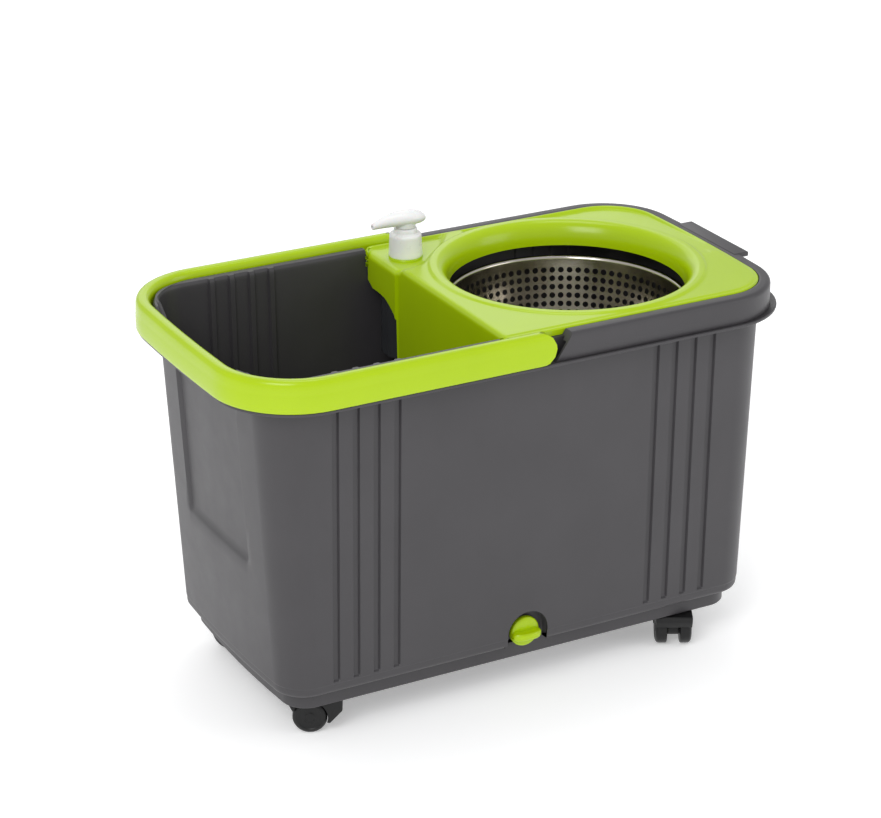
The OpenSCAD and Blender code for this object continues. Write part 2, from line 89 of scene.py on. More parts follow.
class Shade:
    def __init__(self, name):
        self.material = bpy.data.materials.new(name)
        self.material.use_nodes = True
        self.tree = self.material.node_tree
        self.main = self.tree.nodes["Principled BSDF"]
        self.place = None

    # any node: its settings first, then what its sockets hold, by order or by name
    def node(self, kind, settings=None, sockets=()):
        item = self.tree.nodes.new(kind)
        for key, value in (settings or {}).items():
            if key == "stops":
                self.setStops(item.color_ramp, value)
            else:
                setattr(item, key, value)
        pairs = sockets.items() if isinstance(sockets, dict) else enumerate(sockets)
        for key, value in pairs:
            self.join(value, item.inputs[key])
        return Made(self, item)

    def setStops(self, ramp, stops):
        while len(ramp.elements) < len(stops):
            ramp.elements.new(0.5)
        for element, (place, colour) in zip(ramp.elements, stops):
            element.position = place
            element.color = (*colour, 1) if isinstance(colour, tuple) else (colour, colour, colour, 1)

    def join(self, value, socket):
        if isinstance(value, Value):
            self.tree.links.new(value.socket, socket)
        elif value is not None:
            socket.default_value = value

    def number(self, value):
        item = self.node("ShaderNodeValue")
        item.item.outputs[0].default_value = value
        return item.out()

    def coords(self, scale=(1, 1, 1), turn=(0, 0, 0), move=(0, 0, 0)):
        if self.place is None:
            self.place = self.node("ShaderNodeTexCoord").out("Object")
        if scale == (1, 1, 1) and turn == (0, 0, 0) and move == (0, 0, 0):
            return self.place
        return self.node("ShaderNodeMapping", {}, {"Vector": self.place, "Location": move,
                                                   "Rotation": turn, "Scale": scale}).out()

    def noise(self, size, detail=3.0, rough=0.55, where=None):
        return self.node("ShaderNodeTexNoise", {}, {"Vector": where or self.coords(),
                         "Scale": 1 / size, "Detail": detail, "Roughness": rough}).out(0)

    def blend(self, mask, first, second):
        item = self.node("ShaderNodeMix", {"data_type": "RGBA"}, {0: mask, 6: first, 7: second})
        return item.out(2)

    def bump(self, height, depth, strength=1.0, under=None):
        sockets = {"Height": height, "Strength": strength, "Distance": depth}
        if under:
            sockets["Normal"] = under
        return self.node("ShaderNodeBump", {}, sockets).out()

    def finish(self, **values):
        for key, value in values.items():
            self.join(value, self.main.inputs[key.replace("_", " ").title().replace("Ior", "IOR")])
        return self.material


# moulded plastic: a fine cloudy colour, a soft grain, and polish that varies a little
def mouldedPlastic(name, look):
    shade = Shade(name)
    cloud = shade.noise(look["cloudSize"], 4)
    flow = shade.noise(look["cloudSize"] * 0.25, 3, 0.6, shade.coords(scale=(1, 1, 0.25)))
    colour = shade.blend((cloud * 0.7 + flow * 0.3 - 0.3).clipped() * 1.6,
                         (*look["dark"], 1), (*look["light"], 1))
    grain = shade.noise(look["grain"], 2, 0.6)
    wave = shade.noise(look["waveSize"], 1, 0.4)
    rub = shade.noise(look["grain"] * 30, 5, 0.7)
    rough = look["rough"] + (rub - 0.5) * look["roughSwing"] + (flow - 0.5) * look["roughSwing"] * 0.6
    skin = shade.bump(grain, look["grainDepth"], 0.6)
    skin = shade.bump(wave, look["waveDepth"], 0.5, under=skin)
    return shade.finish(base_color=colour, roughness=rough, normal=skin,
                        coat_weight=look.get("coat", 0.0), coat_roughness=look.get("coatRough", 0.1),
                        subsurface_weight=look.get("soft", 0.0), subsurface_scale=0.004,
                        specular_ior_level=look.get("shine", 0.5))


greyLook = {"dark": (0.044, 0.0415, 0.045), "light": (0.058, 0.055, 0.0595), "cloudSize": 0.09,
            "grain": 0.0006, "grainDepth": 0.00006, "waveSize": 0.05, "waveDepth": 0.0012,
            "rough": 0.42, "roughSwing": 0.12, "shine": 0.45}
limeLook = {"dark": (0.375, 0.545, 0.0), "light": (0.425, 0.605, 0.0), "cloudSize": 0.12,
            "grain": 0.0005, "grainDepth": 0.00002, "waveSize": 0.06, "waveDepth": 0.0008,
            "rough": 0.23, "roughSwing": 0.06, "coat": 0.05, "coatRough": 0.06, "shine": 0.36}
whiteLook = {"dark": (0.8, 0.8, 0.79), "light": (0.88, 0.88, 0.87), "cloudSize": 0.03,
             "grain": 0.0004, "grainDepth": 0.00001, "waveSize": 0.02, "waveDepth": 0.0002,
             "rough": 0.28, "roughSwing": 0.08, "soft": 0.08}
blackLook = {"dark": (0.005, 0.005, 0.0052), "light": (0.009, 0.009, 0.0093), "cloudSize": 0.02,
             "grain": 0.0005, "grainDepth": 0.00005, "waveSize": 0.02, "waveDepth": 0.0003,
             "rough": 0.36, "roughSwing": 0.14, "shine": 0.35}
rubberLook = {"dark": (0.012, 0.012, 0.012), "light": (0.02, 0.02, 0.02), "cloudSize": 0.01,
              "grain": 0.0004, "grainDepth": 0.00006, "waveSize": 0.01, "waveDepth": 0.0002,
              "rough": 0.7, "roughSwing": 0.12}
bottleLook = {"dark": (0.03, 0.032, 0.035), "light": (0.045, 0.048, 0.052), "cloudSize": 0.03,
              "grain": 0.0008, "grainDepth": 0.00002, "waveSize": 0.03, "waveDepth": 0.0006,
              "rough": 0.22, "roughSwing": 0.08}
greyPlastic = mouldedPlastic("greyPlastic", greyLook)
limePlastic = mouldedPlastic("limePlastic", limeLook)
whitePlastic = mouldedPlastic("whitePlastic", whiteLook)
blackPlastic = mouldedPlastic("blackPlastic", blackLook)
sealRubber = mouldedPlastic("sealRubber", rubberLook)
smokedPlastic = mouldedPlastic("smokedPlastic", bottleLook)


# rolled steel sheet: fine scratches round the basket and soft water marks
def rolledSteel(name, axis, look):
    shade = Shade(name)
    centred = shade.coords(move=(-axis[0], -axis[1], 0))
    parts = shade.node("ShaderNodeSeparateXYZ", {}, [centred])
    x, y, z = parts.out(0), parts.out(1), parts.out(2)
    radius = (x * x + y * y) ** 0.5
    lathe = shade.noise(0.0011, 3, 0.7, shade.node("ShaderNodeCombineXYZ", {},
                        [radius * 1.0, z * 1.0, x * 0.03]).out())
    marks = shade.noise(0.02, 5, 0.65)
    fine = shade.noise(0.002, 3, 0.6)
    rough = look["rough"] + (lathe - 0.5) * look["swing"] + (marks - 0.45).clipped() * 0.3
    colour = shade.blend((marks * 0.8 + fine * 0.2).clipped(), (*look["dark"], 1), (*look["light"], 1))
    skin = shade.bump(lathe, 0.00002, 0.5)
    return shade.finish(base_color=colour, roughness=rough, metallic=1.0, normal=skin)


basketSteel = rolledSteel("basketSteel", (0.11, 0), {"rough": 0.17, "swing": 0.16,
                          "dark": (0.4, 0.365, 0.31), "light": (0.6, 0.565, 0.5)})
pinSteel = rolledSteel("pinSteel", (0.11, 0), {"rough": 0.3, "swing": 0.2,
                       "dark": (0.5, 0.5, 0.5), "light": (0.66, 0.66, 0.67)})
print("materials made")


def dress(piece, body, material, slot, *nodes):
    piece.data.materials.clear()
    piece.data.materials.append(material)
    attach(piece, body)
    if nodes:
        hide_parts(*nodes)
    return piece


def smoothed(piece, angle=35):
    workOn(piece)
    bpy.ops.object.shade_smooth_by_angle(angle=math.radians(angle))
    return piece


def applied(piece, kind, **settings):
    workOn(piece)
    modifier = piece.modifiers.new(kind.lower(), kind)
    for key, value in settings.items():
        setattr(modifier, key, value)
    bpy.ops.object.modifier_apply(modifier=modifier.name)
    return piece


def fromShape(name, points, faces, edges=()):
    mesh = bpy.data.meshes.new(name)
    mesh.from_pydata([Vector(p) * mm for p in points], list(edges), faces)
    piece = bpy.data.objects.new(name, mesh)
    bpy.context.collection.objects.link(piece)
    return piece


def outward(piece, merge=0.00001):
    workOn(piece)
    bpy.ops.object.mode_set(mode="EDIT")
    bpy.ops.mesh.select_all(action="SELECT")
    bpy.ops.mesh.remove_doubles(threshold=merge)
    bpy.ops.mesh.normals_make_consistent(inside=False)
    bpy.ops.object.mode_set(mode="OBJECT")
    return piece


# skin over rows of points; closedRows joins each row's ends, closedStack joins last row to first
def lofted(name, rows, closedRows=True, closedStack=False, capFirst=False, capLast=False):
    n = len(rows[0])
    points = [p for row in rows for p in row]
    faces = []
    for i in range(len(rows) if closedStack else len(rows) - 1):
        a, b = i * n, (i + 1) % len(rows) * n
        for j in range(n if closedRows else n - 1):
            k = (j + 1) % n
            faces.append((a + j, a + k, b + k, b + j))
    if capFirst:
        faces.append(tuple(range(n))[::-1])
    if capLast:
        last = (len(rows) - 1) * n
        faces.append(tuple(range(last, last + n)))
    return fromShape(name, points, faces)


# a lathe: the profile is drawn as edges and spun round an upright axis
def turned(name, profile, centre=(0, 0), steps=64, closed=False):
    points = [(centre[0] + r, centre[1], z) for r, z in profile]
    edges = [(i, i + 1) for i in range(len(points) - 1)]
    if closed:
        edges.append((len(points) - 1, 0))
    piece = fromShape(name, points, [], edges)
    workOn(piece)
    bpy.ops.object.mode_set(mode="EDIT")
    bpy.ops.mesh.select_all(action="SELECT")
    bpy.ops.mesh.spin(steps=steps, angle=math.tau, center=(centre[0] * mm, centre[1] * mm, 0),
                      axis=(0, 0, 1))
    bpy.ops.object.mode_set(mode="OBJECT")
    return outward(piece)


def turnedInto(piece, matrix):
    piece.data.transform(matrix)
    piece.data.update()
    return piece


def arc(cx, cz, r, a0, a1, steps):
    return [(cx + r * math.cos(math.radians(a0 + (a1 - a0) * i / steps)),
             cz + r * math.sin(math.radians(a0 + (a1 - a0) * i / steps))) for i in range(steps + 1)]


# the bucket's plan outline: a rounded rectangle whose ends bow out
bodyPlan = {"bow": 5, "corner": 14, "endSteps": 26}


def bowedX(x, y, l, w):
    return x * (1 - 2 * bodyPlan["bow"] / l * (2 * y / w) ** 2)


def plan(l, w, r, xs, ys, cx=0):
    squeeze = 1 - 2 * bodyPlan["bow"] / l
    halfX, halfY = l / 2 - r, w / 2 - r
    runX = [-halfX] + [max(-halfX, min(halfX, (x - cx) / squeeze)) for x in xs] + [halfX]
    runY = [max(-halfY, min(halfY, y)) for y in ys]
    points = [(x, -w / 2) for x in runX]
    turn = bodyPlan["corner"]

    def corner(sx, sy, start):
        for i in range(1, turn):
            a = math.radians(start + 90 * i / turn)
            points.append((sx * halfX + r * math.cos(a), sy * halfY + r * math.sin(a)))
    corner(1, -1, -90)
    points += [(l / 2, y) for y in [-halfY] + runY + [halfY]]
    corner(1, 1, 0)
    points += [(x, w / 2) for x in reversed(runX)]
    corner(-1, 1, 90)
    points += [(-l / 2, y) for y in [halfY] + list(reversed(runY)) + [-halfY]]
    corner(-1, -1, 180)
    return [(bowedX(x, y, l, w) + cx, y) for x, y in points]


bucketDims = {"top": (508, 252, 34), "low": (482.32, 239.68, 28), "lowX": 3.6, "rimZ": 354,
              "creaseZ": 60, "bodyZ": 50, "plinthZ": 34, "wall": 2.5, "floorZ": 53,
              "flutes": [187, 167.4, 147.8, 128.2], "fluteWide": 6.6, "fluteDeep": 2.3,
              "panelHalf": 62, "panelLow": 163, "panelDeep": 3.5,
              "bead": (550, 295, 70), "skirt": (534, 288, 64), "recess": (523, 267, 57),
              "seat": (512, 262, 48), "seatZ": 348.4, "insertX": -31.6}
handleDims = {"outline": (554, 298, 72.5), "thick": 13.5, "low": 330.3, "high": 359.3,
              "pivotX": -2, "pivotZ": 344.8, "tipR": 14.5}


def bodySpec(z, off=0):
    t = (z - bucketDims["creaseZ"]) / (bucketDims["rimZ"] - bucketDims["creaseZ"])
    low, top = bucketDims["low"], bucketDims["top"]
    spec = [a + (b - a) * t for a, b in zip(low, top)]
    return grown(spec, off), bucketDims["lowX"] * (1 - t)


def grown(spec, off):
    return (spec[0] + 2 * off, spec[1] + 2 * off, max(spec[2] + off, 1))


def fluteStations():
    half = bucketDims["fluteWide"] / 2
    xs = []
    for x in bucketDims["flutes"]:
        for side in (-1, 1):
            xs += [side * x + d for d in (-half - 0.7, -half, -half + 1.1, 0, half - 1.1, half, half + 0.7)]
    xs += [bucketDims["insertX"] - 0.35, bucketDims["insertX"] + 0.35, -95, -62, 0, 31, 62, 95]
    return sorted(xs)


def fluteDepth(x):
    half = bucketDims["fluteWide"] / 2
    near = min(abs(abs(x) - f) for f in bucketDims["flutes"])
    if near >= half:
        return 0
    return bucketDims["fluteDeep"] * min(1, (half - near) / 1.1) ** 0.7


stationsX = fluteStations()
panel = bucketDims["panelHalf"]
stationsY = [-70, -panel - 2, -panel, -panel + 2, -panel + 5, -54, -40, -20, 0, 20, 40, 54,
             panel - 5, panel - 2, panel, panel + 2, 70]


def smoothStep(t):
    t = max(0, min(1, t))
    return t * t * (3 - 2 * t)


# one row of the bucket's skin; flute and panel say how far those features reach there
def bucketRow(spec, z, cx=0, flute=0.0, panelIn=0.0, lowered=False):
    row = []
    l, w = spec[0], spec[1]
    for x, y in plan(*spec, stationsX, stationsY, cx):
        px, py, pz = x, y, z
        if flute and abs(y) > w / 2 - 1:
            py -= math.copysign(flute * fluteDepth(x), y)
        if panelIn and x < 0 and abs(y) < panel + 3:
            px += panelIn * smoothStep((panel + 2 - abs(y)) / 5)
        if lowered and x > bucketDims["insertX"]:
            pz = min(pz, bucketDims["seatZ"])
        # finger notch over the bath end
        if lowered and x < -200 and abs(y) < 84:
            drop = 20 * smoothStep((82 - abs(y)) / 17)
            pz = min(pz, bucketDims["rimZ"] - drop + (z - bucketDims["rimZ"]) * 0.3)
        row.append((px, py, pz))
    return row


def buildBucket():
    d = bucketDims
    low, lowX = bodySpec(d["creaseZ"])
    plinth = grown(low, -11.5)
    plinth = (plinth[0] + 2, plinth[1], 22)
    rows = [bucketRow(grown(plinth, -2.5), d["bodyZ"] - 0.5, lowX),
            bucketRow(grown(plinth, -2.5), d["plinthZ"] + 0.4, lowX),
            bucketRow(grown(plinth, -2.1), d["plinthZ"], lowX),
            bucketRow(grown(plinth, -0.7), d["plinthZ"], lowX),
            bucketRow(plinth, d["plinthZ"] + 0.8, lowX),
            bucketRow(plinth, d["bodyZ"] - 1.2, lowX),
            bucketRow(grown(plinth, 1.2), d["bodyZ"], lowX)]
    for a in (0, 22, 45, 68, 90):
        s, c = math.sin(math.radians(a)), math.cos(math.radians(a))
        rows.append(bucketRow(grown(low, -5 + 4.4 * s), d["bodyZ"] + 5 - 5 * c, lowX))
    rows.append(bucketRow(grown(low, -0.6), d["creaseZ"] - 1.2, lowX))
    rows.append(bucketRow(grown(low, -0.1), d["creaseZ"] - 0.4, lowX))
    heights = [(60.4, 0, 0), (61.2, 0, 0), (62.4, 0.75, 0), (64.5, 1, 0)]
    heights += [(z, 1, 0) for z in (90, 120, 150, 161)]
    heights += [(164, 1, 0.35), (167, 1, 0.8), (172, 1, 1)]
    heights += [(z, 1, 1) for z in (200, 235, 270, 300, 318)]
    heights += [(322, 0.9, 0.9), (326, 0.5, 0.6), (330, 0, 0), (342, 0, 0)]
    for z, flute, inward in heights:
        spec, cx = bodySpec(z)
        rows.append(bucketRow(spec, z, cx, flute, d["panelDeep"] * inward))
    # out under the rim, down inside the skirt, round the bead and up the handle's seat
    spec, cx = bodySpec(345)
    rows.append(bucketRow(grown(spec, 1), 345, cx))
    recess, bead = d["recess"], d["bead"]
    for spec, z in ((grown(recess, -3), 345), (grown(recess, -2.5), 344), (grown(recess, -2.5), 329),
                    (grown(recess, -1.5), 327.2), (grown(bead, -1.2), 327), (grown(bead, -0.3), 327.6),
                    (bead, 328.6), (grown(bead, -0.2), 329.6), (grown(bead, -1.1), 330.1),
                    (grown(bead, -2.2), 329.8), (grown(recess, 1.2), 329.6), (grown(recess, 0.3), 330.2),
                    (recess, 331.4)):
        rows.append(bucketRow(spec, z))
    for spec, z in ((recess, 334), (recess, 350.5), (grown(recess, -0.5), 352.6), (grown(recess, -1.6), 353.7),
                    (grown(recess, -3.2), 354)):
        rows.append(bucketRow(spec, z, 0, 0, 0, True))
    inner, cx = bodySpec(354, -2.5)
    for off, z in ((3.6, 354), (1.8, 353.6), (0.6, 352.4), (0.1, 350.4)):
        rows.append(bucketRow(grown(inner, off), z, cx, 0.9 if z < 353.8 else 0, 0, True))
    for z in (347.8, 340, 332, 318, 300, 270, 235, 200, 172):
        spec, cx = bodySpec(z, -2.5)
        rows.append(bucketRow(spec, z, cx, 1, d["panelDeep"] if 172 <= z <= 318 else 0, z > 345))
    for z, flute, inward in ((167, 1, 0.8), (164, 1, 0.35), (161, 1, 0), (120, 1, 0), (90, 1, 0),
                             (64.5, 1, 0), (61, 0.6, 0)):
        spec, cx = bodySpec(z, -2.5)
        rows.append(bucketRow(spec, z, cx, flute, d["panelDeep"] * inward))
    for a in (15, 40, 65, 90):
        s, c = math.sin(math.radians(a)), math.cos(math.radians(a))
        rows.append(bucketRow(grown(low, -2.5 - 6 * (1 - c)), 59 - 6 * s, lowX))
    piece = lofted("bucketShell", rows, capFirst=True, capLast=True)
    outward(piece, 0.000001)
    return piece


# arch-shaped well round the drain plug, cut through the wall and lined
drainDims = {"x": 4, "z": 60.6, "wellR": 20.3, "archZ": 62.6, "backY": -108.85, "shankR": 7.08}


def archOutline(r, bottom, steps=20):
    cx, cz = drainDims["x"], drainDims["archZ"]
    return [(cx + r, bottom)] + arc(cx, cz, r, 0, 180, steps) + [(cx - r, bottom)]


def archBlock(name, r, bottom, y0, y1):
    ring = archOutline(r, bottom)
    rows = [[(x, y, z) for x, z in ring] for y in (y0, y1)]
    return outward(lofted(name, rows, capFirst=True, capLast=True))


def cutBy(piece, cutter):
    applied(piece, "BOOLEAN", operation="DIFFERENCE", object=cutter, solver="EXACT")
    bpy.data.objects.remove(cutter, do_unlink=True)


bucketShell = buildBucket()
cutBy(bucketShell, archBlock("wellCutter", drainDims["wellR"], 49.9, -150, drainDims["backY"]))
smoothed(bucketShell, 32)
dress(bucketShell, "bucket_body", greyPlastic, "grey_plastic", "bucket")
print("bucket shell made")


def buildDrainWell():
    ring = archOutline(drainDims["wellR"], 50.2)
    front = [(x, -118.2 + (z - 60) * 0.021, z) for x, z in ring]
    mouth = [(x, -117.2, z) for x, z in ring]
    back = [(x, drainDims["backY"] - 1, z) for x, z in ring]
    shrunk = [(drainDims["x"] + (x - drainDims["x"]) * 0.95, drainDims["backY"], 50.2 + (z - 50.2) * 0.975)
              for x, z in ring]
    piece = lofted("drainWell", [front, mouth, back, shrunk], closedRows=False)
    workOn(piece)
    bpy.ops.object.mode_set(mode="EDIT")
    bpy.ops.mesh.select_mode(type="EDGE")
    bpy.ops.mesh.select_all(action="DESELECT")
    bpy.ops.object.mode_set(mode="OBJECT")
    n = len(ring)
    for edge in piece.data.edges:
        edge.select = all(v >= 3 * n for v in edge.vertices)
    bpy.ops.object.mode_set(mode="EDIT")
    bpy.ops.mesh.edge_face_add()
    bpy.ops.object.mode_set(mode="OBJECT")
    outward(piece)
    # the back face looks towards -Y; turn the skin if it doesn't
    back = max(piece.data.polygons, key=lambda f: len(f.vertices))
    if back.normal.y > 0:
        workOn(piece)
        bpy.ops.object.mode_set(mode="EDIT")
        bpy.ops.mesh.select_all(action="SELECT")
        bpy.ops.mesh.flip_normals()
        bpy.ops.object.mode_set(mode="OBJECT")
    applied(piece, "SOLIDIFY", thickness=0.0023, offset=-1)
    return smoothed(piece, 40)


dress(buildDrainWell(), "bucket_body", greyPlastic, "grey_plastic")


# raised outer rim round the basket end, ending in sloping stops for the bail
def buildRimBlock():
    skirt, seat = bucketDims["skirt"], bucketDims["seat"]
    loop = [(grown(skirt, -0.3), 329.7), (skirt, 330.4), (skirt, 340), (skirt, 348.6)]
    loop += [(grown(skirt, -4 + 4 * math.cos(math.radians(a))), 350 + 4 * math.sin(math.radians(a)))
             for a in (0, 18, 36, 54, 72, 90)]
    loop += [(grown(skirt, -8), 354), (grown(seat, 1.2), 354), (grown(seat, 0.3), 353.6),
             (grown(seat, 0), 352.8), (seat, 348.9), (grown(seat, 2), 348.6), (grown(seat, 4.5), 348.6),
             (grown(seat, 5), 346), (grown(seat, 6.2), 346), (grown(skirt, -2.6), 346),
             (grown(skirt, -2.6), 329.7)]
    rows = [[(x, y, z) for x, y in plan(*spec, stationsX, stationsY)] for spec, z in loop]
    piece = outward(lofted("raisedRim", rows, closedStack=True))
    workOn(piece)
    bpy.ops.object.mode_set(mode="EDIT")
    bpy.ops.mesh.select_all(action="SELECT")
    slope = Vector((24.5, 0, -17)).normalized()
    bpy.ops.mesh.bisect(plane_co=(0.014, 0, 0.3295), plane_no=slope, use_fill=True, clear_inner=True)
    bpy.ops.object.mode_set(mode="OBJECT")
    return smoothed(piece, 38)


dress(buildRimBlock(), "bucket_body", greyPlastic, "grey_plastic")


# flat tab over the basket end
tabDims = {"half": 48, "inner": 259, "outer": 275, "low": 350, "high": 354.6, "round": 5}


def buildGripTab():
    d = tabDims
    bpy.ops.object.select_all(action="DESELECT")
    bpy.ops.mesh.primitive_cube_add(size=1, location=((d["inner"] + d["outer"]) / 2 * mm, 0,
                                                      (d["low"] + d["high"]) / 2 * mm))
    piece = bpy.context.object
    piece.name = piece.data.name = "gripTab"
    piece.scale = ((d["outer"] - d["inner"]) * mm, 2 * d["half"] * mm, (d["high"] - d["low"]) * mm)
    bpy.ops.object.transform_apply(location=True, rotation=True, scale=True)
    applied(piece, "BEVEL", width=0.0012, segments=3, limit_method="ANGLE")
    return smoothed(piece, 40)


dress(buildGripTab(), "bucket_body", greyPlastic, "grey_plastic")

# hollow grip low on the basket end, for tipping the bucket
gripDims = {"x": 243.7, "z": 100, "r": 21, "half": 62, "wall": 2.5}


def buildTippingGrip():
    d = gripDims
    rows = []
    stations = [(-90 + 90 * i / 10) for i in range(11)]
    along = [(-d["half"] + d["r"] * math.sin(math.radians(a)), d["r"] * math.cos(math.radians(a)))
             for a in stations]
    along += [(y, d["r"]) for y in (-40, 0, 40)]
    along += [(-y, r) for y, r in reversed(along[:11])]
    for y, r in along:
        rows.append([(d["x"] + max(r, 0.05) * math.cos(math.radians(a)), y,
                      d["z"] + max(r, 0.05) * math.sin(math.radians(a))) for a in range(-2, 101, 6)])
    piece = outward(lofted("tippingGrip", rows, closedRows=False))
    if sum(f.normal.x * f.area for f in piece.data.polygons) < 0:
        workOn(piece)
        bpy.ops.object.mode_set(mode="EDIT")
        bpy.ops.mesh.select_all(action="SELECT")
        bpy.ops.mesh.flip_normals()
        bpy.ops.object.mode_set(mode="OBJECT")
    applied(piece, "SOLIDIFY", thickness=0.0025, offset=-1)
    return smoothed(piece, 40)


dress(buildTippingGrip(), "bucket_body", greyPlastic, "grey_plastic")
print("rim, tab and grip made")


# the bail: a crowned channel swept round the bath end, with round ends at its pivots
def buildHandle():
    d = handleDims
    outer, zLow, zHigh = d["outline"], d["low"], d["high"]
    loop = [(-1.2, zLow), (-0.35, zLow + 0.7), (0, zLow + 2), (-0.05, zLow + 7), (-0.15, d["pivotZ"] - 0.5),
            (-0.35, d["pivotZ"] + 0.5), (-0.45, zLow + 18), (-0.7, zHigh - 4.5), (-1.4, zHigh - 2.4),
            (-2.6, zHigh - 0.9), (-4.6, zHigh - 0.1), (-6.4, zHigh), (-9.4, zHigh - 0.3), (-11.4, zHigh - 1.3),
            (-12.8, zHigh - 3.4), (-13.5, zHigh - 7), (-13.5, zLow + 3), (-13.3, zLow + 0.8), (-12.6, zLow),
            (-10.6, zLow), (-10.4, zHigh - 4), (-3.4, zHigh - 4), (-3.1, zLow)]
    xs = sorted([-195, -180, -160, -140, -120, -100, -80, -60, -45, -36, -31, -29, -22, -15])
    tipTurns = [0, 0.25, 0.45, 0.62, 0.76, 0.87, 0.94, 0.98, 1.0]
    rows = []
    for off, z in loop:
        spec = grown(outer, off)
        ring = plan(*spec, xs + [d["pivotX"]], stationsY)
        start = next(i for i, p in enumerate(ring) if abs(p[0] - d["pivotX"]) < 0.01)
        l, w = spec[0], spec[1]
        row = []
        # columns run from the front pivot round the bath end to the back pivot
        front = [p for p in ring[:start]][::-1]
        rest = ring[start:]
        n = len(ring)
        backStart = n - 1
        fronts = list(reversed(ring[:start + 1]))
        cornerAndEnd = []
        for p in reversed(ring[start + 1:]):
            cornerAndEnd.append(p)
        path = fronts + cornerAndEnd
        stop = next(i for i, p in enumerate(path) if i > 5 and p[1] > 0 and abs(p[0] - d["pivotX"]) < 0.01)
        path = path[:stop + 1]
        reach = math.sqrt(max(d["tipR"] ** 2 - (z - d["pivotZ"]) ** 2, 0.0))
        tipFront = [(d["pivotX"] + reach * t, path[0][1]) for t in reversed(tipTurns[1:])]
        tipBack = [(d["pivotX"] + reach * t, path[-1][1]) for t in tipTurns[1:]]
        for x, y in tipFront + path + tipBack:
            hollow = smoothStep((-26 - x) / 5)
            zz = z if z <= zLow + 0.01 or off not in (-10.4, -3.4) else zLow + (z - zLow) * hollow + 0.02
            row.append((x, y, zz))
        rows.append(row)
    piece = lofted("bail", rows, closedRows=False, closedStack=True)
    workOn(piece)
    count = len(rows[0])
    bpy.ops.object.mode_set(mode="EDIT")
    bpy.ops.mesh.select_mode(type="EDGE")
    for column in (0, count - 1):
        bpy.ops.mesh.select_all(action="DESELECT")
        bpy.ops.object.mode_set(mode="OBJECT")
        for edge in piece.data.edges:
            edge.select = all(v % count == column for v in edge.vertices)
        bpy.ops.object.mode_set(mode="EDIT")
        bpy.ops.mesh.edge_face_add()
    bpy.ops.object.mode_set(mode="OBJECT")
    outward(piece, 0.000002)
    return smoothed(piece, 36)


handlePiece = dress(buildHandle(), "bail", limePlastic, "lime_plastic", "handle")


def buildStuds():
    d = handleDims
    made = []
    for side in (-1, 1):
        nothingSelected()
        bpy.ops.mesh.primitive_cylinder_add(vertices=40, radius=0.005, depth=0.0055,
                                            location=(d["pivotX"] * mm, side * 0.13375, d["pivotZ"] * mm),
                                            rotation=(math.pi / 2, 0, 0))
        bpy.ops.object.transform_apply(location=True, rotation=True, scale=True)
        made.append(bpy.context.object)
    workOn(made[0])
    made[1].select_set(True)
    bpy.ops.object.join()
    piece = bpy.context.object
    piece.name = piece.data.name = "bailStuds"
    applied(piece, "BEVEL", width=0.0006, segments=2, limit_method="ANGLE")
    return smoothed(piece, 40)


dress(buildStuds(), "bail", limePlastic, "lime_plastic")
print("bail made")


# lift-out insert: a polar net round the opening, folded down into the divider
insertDims = {"axis": (110, 0), "lipR": 107.4, "crestR": 119.3, "lipZ": 335, "crestZ": 356.9,
              "outline": (510.8, 260.8, 47.4), "high": 355.5, "low": 352.2, "edgeZ": 354.7,
              "stepR": 126, "stepY": 61, "foldX": -24, "faceA": -31, "faceB": -28.5, "pocketY": 67,
              "fold": 6, "bottom": 204, "pump": (-5, 96)}


def deckInset(x, y):
    l, w, r = insertDims["outline"]
    flat = x / (1 - 2 * bodyPlan["bow"] / l * (2 * y / w) ** 2)
    dx, dy = abs(flat) - l / 2 + r, abs(y) - w / 2 + r
    return r - math.hypot(max(dx, 0), max(dy, 0)) - min(max(dx, dy), 0)


def deckHeight(x, y):
    d = insertDims
    ax, ay = x - d["axis"][0], y - d["axis"][1]
    radius = math.hypot(ax, ay)
    outside = radius - d["stepR"]
    if x < 70:
        beyond = y - d["stepY"] - 0.00012 * (x + 31) ** 3
        mix = max(0.0, min(1.0, 0.5 + 0.5 * (beyond - outside) / 16))
        outside = beyond * (1 - mix) + outside * mix - 16 * mix * (1 - mix)
    heading = math.degrees(math.atan2(ay, ax))
    fade = smoothStep((heading + 25) / 60) if ax > 0 else 1
    step = smoothStep((outside + 2.5) / 6) * (fade if y > -30 else 0)
    base = d["high"] - (d["high"] - d["low"]) * step
    base += (d["crestZ"] - base) * (1 - smoothStep((radius - d["crestR"] - 4) / 4))
    edge = deckInset(x, y)
    base += (d["edgeZ"] - base) * smoothStep((5.4 - edge) / 3)
    return base - 1.1 * smoothStep((1.3 - edge) / 1.3) ** 2


def insertRays():
    d = insertDims
    ax = d["foldX"] - d["axis"][0]
    half = d["outline"][1] / 2 - 0.05
    across = [half, half - 1, half - 2.2, half - 3.4, half - 4.6, half - 6, half - 9, 112, 104, 96, 88, 80, 74, 70,
              68, 67, 66, 65, 63, 60, 55, 48, 40, 30, 20, 10, 0, -10, -20, -32, -44, -56, -68, -80, -92, -103,
              -112, -(half - 9), -(half - 6), -(half - 4.6), -(half - 3.4), -(half - 2.2), -(half - 1), -half]
    start = math.degrees(math.atan2(half, ax))
    count = 170
    span = 2 * start
    rays = [math.radians(-start + span * i / count) for i in range(1, count)]
    return across, rays


def reachAlong(ray, inset):
    d = insertDims
    c, s = math.cos(ray), math.sin(ray)
    low, high = 100.0, 240.0
    for _ in range(26):
        mid = (low + high) / 2
        if deckInset(d["axis"][0] + mid * c, mid * s) > inset:
            low = mid
        else:
            high = mid
    if c < 0:
        low = min(low, (d["foldX"] - d["axis"][0]) / c)
    return low


